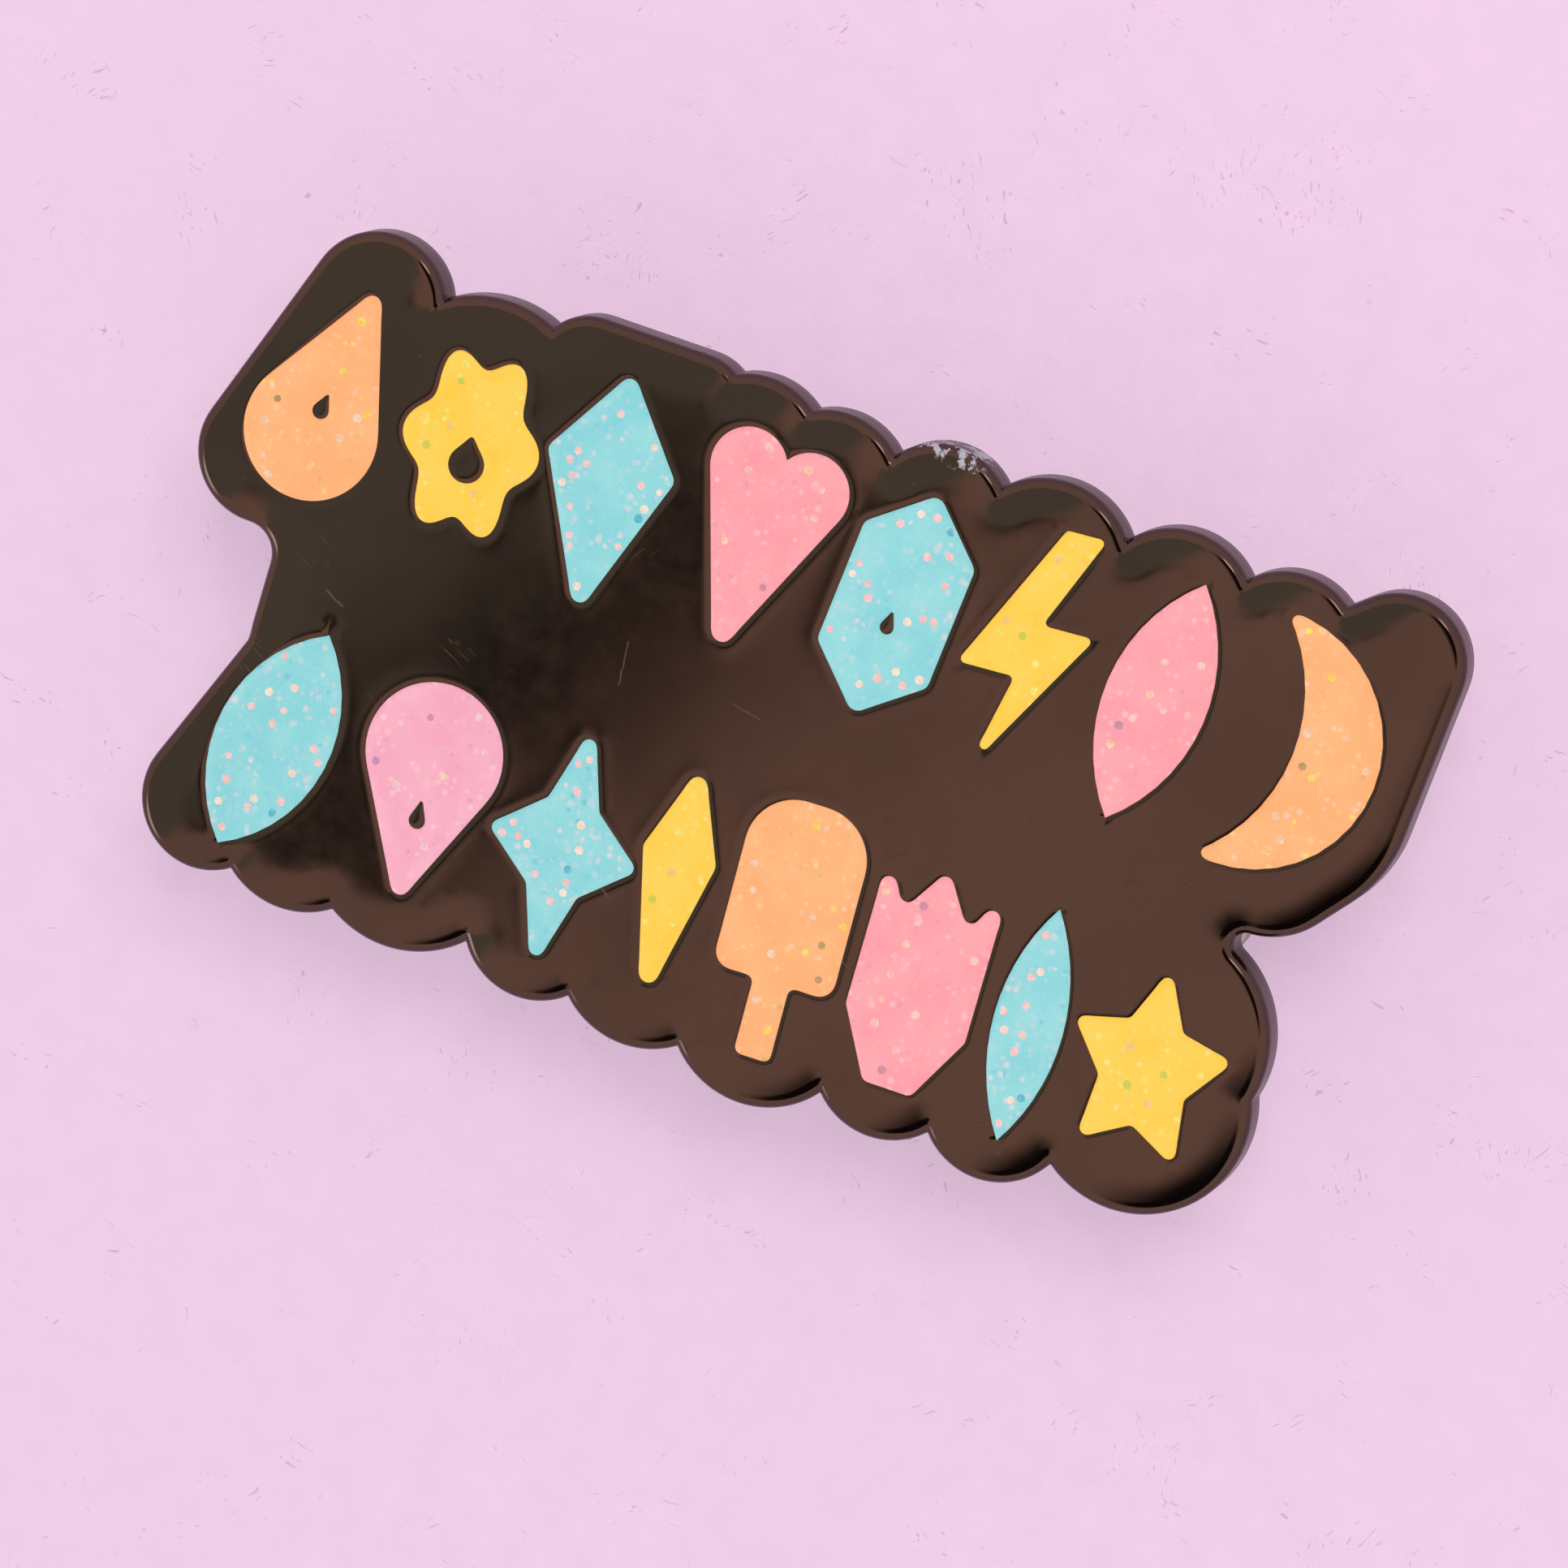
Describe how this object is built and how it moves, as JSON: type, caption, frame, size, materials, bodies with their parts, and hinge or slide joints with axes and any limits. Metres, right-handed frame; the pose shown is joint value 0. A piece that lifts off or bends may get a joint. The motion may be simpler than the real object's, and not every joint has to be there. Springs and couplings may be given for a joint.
{
  "type": "enamel pin",
  "caption": "Wide enamel pin: a lobed black nickel plate with rows of pastel glitter enamel motifs, held on by butterfly clutches on posts.",
  "frame": {"origin": "middle of the plate's back face, halfway between the two posts", "axes": "+Z out of the enamelled front, +X along the rows of motifs, posts and clutches towards -Z"},
  "size_m": [0.0449, 0.0248, 0.0098],
  "materials": {
    "black_nickel": "polished black nickel plating on a stamped plate",
    "enamel_orange": "glossy enamel with glitter",
    "enamel_yellow": "glossy enamel with glitter",
    "enamel_blue": "glossy enamel with glitter",
    "enamel_pink": "glossy enamel with glitter",
    "enamel_lilac": "glossy enamel with glitter",
    "post_steel": "nickel-plated steel",
    "solder": "dull soft solder",
    "clutch_shell": "bright nickel-plated brass",
    "wing_sheet": "bright nickel-plated spring brass",
    "spring_wire": "drawn spring wire"
  },
  "bodies": {
    "pin": {"backing_plate": "black_nickel", "enamel_drop_orange": "enamel_orange", "enamel_flower_yellow": "enamel_yellow", "enamel_kite_blue": "enamel_blue", "enamel_heart_pink": "enamel_pink", "enamel_gem_blue": "enamel_blue", "enamel_bolt_yellow": "enamel_yellow", "enamel_petal_pink": "enamel_pink", "enamel_moon_orange": "enamel_orange", "enamel_petal_blue": "enamel_blue", "enamel_balloon_lilac": "enamel_lilac", "enamel_sparkle_blue": "enamel_blue", "enamel_dart_yellow": "enamel_yellow", "enamel_lolly_orange": "enamel_orange", "enamel_tulip_pink": "enamel_pink", "enamel_leaf_blue": "enamel_blue", "enamel_star_yellow": "enamel_yellow", "post_left": "post_steel", "solder_left": "solder", "post_right": "post_steel", "solder_right": "solder"},
    "clutch_left": {"clutch_base_left": "clutch_shell"},
    "swivel_left": {"clutch_cap_left": "clutch_shell", "spring_left": "spring_wire"},
    "lower_wing_left": {"wing_lower_left": "wing_sheet"},
    "upper_wing_left": {"wing_upper_left": "wing_sheet"},
    "clutch_right": {"clutch_base_right": "clutch_shell"},
    "swivel_right": {"clutch_cap_right": "clutch_shell", "spring_right": "spring_wire"},
    "lower_wing_right": {"wing_lower_right": "wing_sheet"},
    "upper_wing_right": {"wing_upper_right": "wing_sheet"}
  },
  "joints": [
    {"name": "clutch_slide_left", "type": "slide", "parent": "pin", "child": "clutch_left", "axis": [0, 0, -1], "range_m": [0, 0.008]},
    {"name": "clutch_swivel_left", "type": "hinge", "parent": "clutch_left", "child": "swivel_left", "pos_m": [-0.012, 0, -0.0026], "axis": [0, 0, 1], "continuous": true},
    {"name": "wing_squeeze_left", "type": "hinge", "parent": "swivel_left", "child": "lower_wing_left", "pos_m": [-0.012, -0.0038, -0.00375], "axis": [1, 0, 0], "range_deg": [0, 8], "stiffness_Nm_per_rad": 0.05, "deforming": ["spring_left"]},
    {"name": "wing_follow_left", "type": "hinge", "parent": "swivel_left", "child": "upper_wing_left", "pos_m": [-0.012, 0.0038, -0.00375], "axis": [-1, 0, 0], "range_deg": [0, 8]},
    {"name": "clutch_slide_right", "type": "slide", "parent": "pin", "child": "clutch_right", "axis": [0, 0, -1], "range_m": [0, 0.008]},
    {"name": "clutch_swivel_right", "type": "hinge", "parent": "clutch_right", "child": "swivel_right", "pos_m": [0.012, 0, -0.0026], "axis": [0, 0, 1], "continuous": true},
    {"name": "wing_squeeze_right", "type": "hinge", "parent": "swivel_right", "child": "lower_wing_right", "pos_m": [0.012, -0.0038, -0.00375], "axis": [1, 0, 0], "range_deg": [0, 8], "stiffness_Nm_per_rad": 0.05, "deforming": ["spring_right"]},
    {"name": "wing_follow_right", "type": "hinge", "parent": "swivel_right", "child": "upper_wing_right", "pos_m": [0.012, 0.0038, -0.00375], "axis": [-1, 0, 0], "range_deg": [0, 8]}
  ],
  "couplings": [
    {"joint": "wing_follow_left", "follows": "wing_squeeze_left", "ratio": 1},
    {"joint": "wing_follow_right", "follows": "wing_squeeze_right", "ratio": 1}
  ]
}
